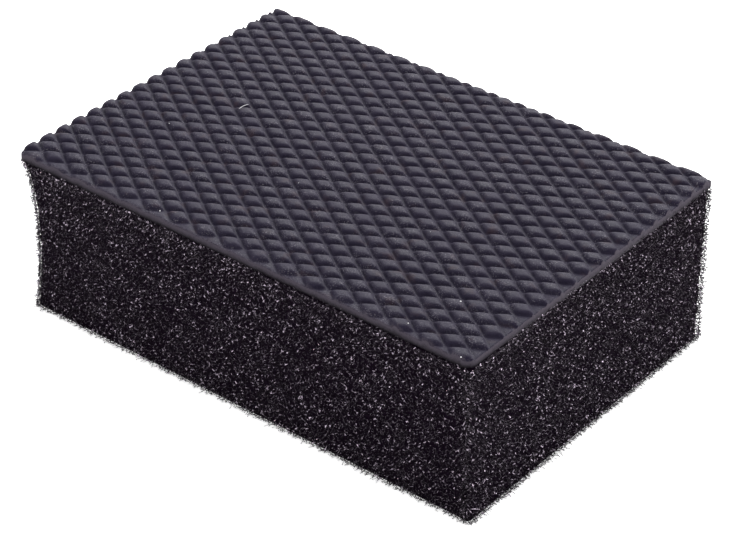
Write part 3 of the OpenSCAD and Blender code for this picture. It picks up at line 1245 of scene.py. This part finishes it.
def pad_material(context):
    """Clay rubber: a satin slate skin, mottled where dust and handling have dulled it, with a fine
    grain, which turns into a dull, torn cut along the edge that darkens downwards."""
    look = context.scene.sponge_pad_look
    nodes = Nodes("clay")
    mottle = nodes.spread(nodes.noise(3.5 * MM, 4.0, 0.6), 0.35, 0.68)
    speckle = nodes.spread(nodes.noise(0.22 * MM, 2.0), 0.35, 0.70)
    lumps = nodes.noise(0.55 * MM, 2.0)
    warmth = nodes.spread(nodes.noise(2.4 * MM, 3.0), 0.58, 0.76)
    dusty = nodes.spread(nodes.noise(2.6 * MM, 2.0), 0.40, 0.64)
    crumbs = nodes.spread(nodes.noise(0.19 * MM, 1.0), 0.59, 0.69) * dusty
    torn = nodes.spread(nodes.noise(0.30 * MM, 3.0, 0.65), 0.30, 0.70)
    stage = nodes.attribute("cut")
    cut = nodes.spread(stage + 0.5 * (torn - 0.5), 0.25, 0.75)
    down = nodes.spread(stage + 0.6 * (torn - 0.5), 1.15, 2.0)
    skin = nodes.mix((mottle * 0.5 + speckle * 0.5).clamped(), tuple(look.skin), tuple(look.wear_and_glint))
    skin = nodes.mix(warmth * 0.5, skin, tuple(look.warm))
    skin = nodes.mix(crumbs * 0.75, skin, tuple(look.crumb))
    edge = nodes.mix(torn, tuple(0.75 * c for c in look.cut), tuple(look.cut))
    edge = nodes.mix(down, edge, tuple(0.22 * c for c in look.cut))
    rough = look.skin_rough + 0.10 * mottle - 0.05 * speckle
    grain = nodes.noise(look.grain, 3.0, 0.6)
    return nodes.finish(
        Base_Color=nodes.mix(cut, skin, edge),
        Roughness=rough + cut * (look.cut_rough - rough),
        Specular_IOR_Level=0.083,
        Specular_Tint=(0.955, 0.94, 1.0, 1.0),
        Normal=nodes.bump(grain * 0.5 + lumps * 0.5 + cut * torn * 0.6, 1.0, 0.09 * MM),
    )


def strut_material(context):
    """Foam struts: from black to a pale grey, partly their own random tone and partly painted
    highlights where they would catch the light, broken up by fine noise."""
    look = context.scene.sponge_foam_look
    nodes = Nodes("foam struts")
    broken = nodes.spread(nodes.noise(0.13 * MM, 1.0), 0.40, 0.60)
    tone = nodes.attribute("tone") * (0.25 + 1.5 * broken)
    return nodes.finish(
        Base_Color=nodes.mix(tone.clamped(), tuple(look.dark), tuple(look.pale)),
        Roughness=look.strut_rough,
        Specular_IOR_Level=0.03,
    )


def core_material(context):
    """Depth of the foam, its own black deepened by painted shade: holes of cells painted darker as
    shade between a dim web, with the cells' walls raised.
    """
    look = context.scene.sponge_foam_look
    nodes = Nodes("foam depth")
    # Painted shade: the cells' holes darker than their walls.
    walls = 1 - nodes.spread(nodes.cells(0.55 * MM), 0.02, 0.22)
    fleck = nodes.spread(nodes.noise(0.16 * MM, 2.0), 0.48, 0.72)
    tint = nodes.mix((walls * fleck).clamped(), tuple(look.core), tuple(3.2 * c for c in look.core))
    return nodes.finish(
        Base_Color=tint,
        Roughness=0.7 - 0.10 * fleck,
        Specular_IOR_Level=0.01,
        Normal=nodes.bump(walls, 0.8, 0.12 * MM),
    )


def dust_material(context):
    """Dust and lint: off-white, dull, slightly uneven."""
    nodes = Nodes("dust")
    tint = nodes.mix(nodes.noise(0.08 * MM), (0.55, 0.54, 0.56), (0.85, 0.85, 0.86))
    return nodes.finish(Base_Color=tint, Roughness=0.8)


def floor_material(context):
    """Plain pale floor, lit a little from below, with a trace of unevenness in its tone."""
    studio = context.scene.sponge_studio
    nodes = Nodes("studio floor")
    dimmer = tuple(0.99 * c for c in studio.floor)
    tint = nodes.mix(nodes.noise(120 * MM), tuple(studio.floor), dimmer)
    return nodes.finish(
        Base_Color=tint,
        Roughness=0.9,
        Specular_IOR_Level=0.1,
        Emission_Color=(1.0, 1.0, 1.0),
        Emission_Strength=studio.floor_glow,
    )


# ---------------------------------------------------------------- studio


# Distance of the lights, their sizes, half the floor's width, and how far it lies under the foot,
# in metres, and the floor's mesh lines.
LIGHT_REACH = 0.65
BACK_LIGHT_SIZE, SIDE_LIGHT_SIZE = 0.62, 0.45
FLOOR_REACH = 4.0
FLOOR_GAP = 0.02 * MM
FLOOR_LINES = 9


def soft_light(name, power, size, aim, azimuth, elevation):
    """A square area light of this size that faces a point, opposite to a camera at this azimuth and
    at its own elevation."""
    data = bpy.data.lights.new(name, "AREA")
    data.energy = power
    data.size = size
    flat = Vector((-math.sin(azimuth), math.cos(azimuth), math.tan(elevation))).normalized()
    light = bpy.data.objects.new(name, data)
    light.location = aim + flat * LIGHT_REACH
    light.rotation_euler = flat.to_track_quat("Z", "Y").to_euler()
    bpy.context.scene.collection.objects.link(light)


class SPONGE_OT_studio(bpy.types.Operator):
    """Set up the floor, the lights, the white room and the camera"""

    bl_idname = "sponge.studio"
    bl_label = "Studio"

    def execute(self, context):
        studio = context.scene.sponge_studio
        aim = Vector((studio.aim_x, studio.aim_y, studio.aim_z))
        away = Vector(
            (
                math.sin(studio.azimuth) * math.cos(studio.elevation),
                -math.cos(studio.azimuth) * math.cos(studio.elevation),
                math.sin(studio.elevation),
            )
        )
        data = bpy.data.cameras.new("camera")
        data.lens = studio.lens
        data.sensor_width = 36.0
        data.dof.use_dof = False
        data.clip_start = 0.01
        camera = bpy.data.objects.new("camera", data)
        camera.location = aim + away * studio.distance
        camera.rotation_euler = away.to_track_quat("Z", "Y").to_euler()
        context.scene.collection.objects.link(camera)
        context.scene.camera = camera

        ground = FOAM_BOX[0].z - FLOOR_GAP
        line = np.linspace(-FLOOR_REACH, FLOOR_REACH, FLOOR_LINES)
        x, y = np.meshgrid(line, line, indexing="xy")
        points = np.stack([x.ravel(), y.ravel(), np.full(x.size, ground)], -1)
        floor = put_mesh("floor", points, grid_faces(FLOOR_LINES, FLOOR_LINES, closed=False))
        floor.data.materials.append(floor_material(context))

        back, side = studio.azimuth - studio.back_turn, studio.azimuth - studio.side_turn
        soft_light("back light", studio.back_light, BACK_LIGHT_SIZE, aim, back, studio.back_rise)
        soft_light("side light", studio.side_light, SIDE_LIGHT_SIZE, aim, side, studio.side_rise)
        world = bpy.data.worlds.new("white room")
        world.use_nodes = True
        room = world.node_tree.nodes["Background"]
        room.inputs["Color"].default_value = (1.0, 1.0, 1.0, 1.0)
        room.inputs["Strength"].default_value = studio.room_light
        context.scene.world = world
        context.scene.view_settings.view_transform = "Standard"
        return {"FINISHED"}


# ---------------------------------------------------------------- panel and registration


class SPONGE_PT_panel(bpy.types.Panel):
    """Steps that build the clay sponge"""

    bl_idname = "SPONGE_PT_panel"
    bl_label = "Clay Sponge"
    bl_space_type = "VIEW_3D"
    bl_region_type = "UI"
    bl_category = "Clay Sponge"

    def draw(self, context):
        for operator in OPERATORS:
            self.layout.operator(operator.bl_idname)
        for group in GROUPS:
            settings = getattr(context.scene, group)
            box = self.layout.box()
            for name in settings.__annotations__:
                box.prop(settings, name)


GROUPS = {
    "sponge_pad": PadSizes,
    "sponge_pad_look": PadLook,
    "sponge_foam": FoamSizes,
    "sponge_foam_look": FoamLook,
    "sponge_studio": StudioSizes,
}
OPERATORS = (
    SPONGE_OT_foam_core,
    SPONGE_OT_foam_web,
    SPONGE_OT_clay_pad,
    SPONGE_OT_dust,
    SPONGE_OT_studio,
)
CLASSES = (*GROUPS.values(), *OPERATORS, SPONGE_PT_panel)


def register():
    """Registers the classes and keeps the settings on the scene."""
    for item in CLASSES:
        bpy.utils.register_class(item)
    for name, group in GROUPS.items():
        setattr(bpy.types.Scene, name, PointerProperty(type=group))


def unregister():
    """Takes back what register did."""
    for name in GROUPS:
        delattr(bpy.types.Scene, name)
    for item in reversed(CLASSES):
        bpy.utils.unregister_class(item)


def main():
    """Builds every piece in order."""
    register()
    bpy.ops.sponge.foam_core()
    bpy.ops.sponge.foam_web()
    bpy.ops.sponge.clay_pad()
    bpy.ops.sponge.dust()
    bpy.ops.sponge.studio()


if __name__ == "__main__":
    main()
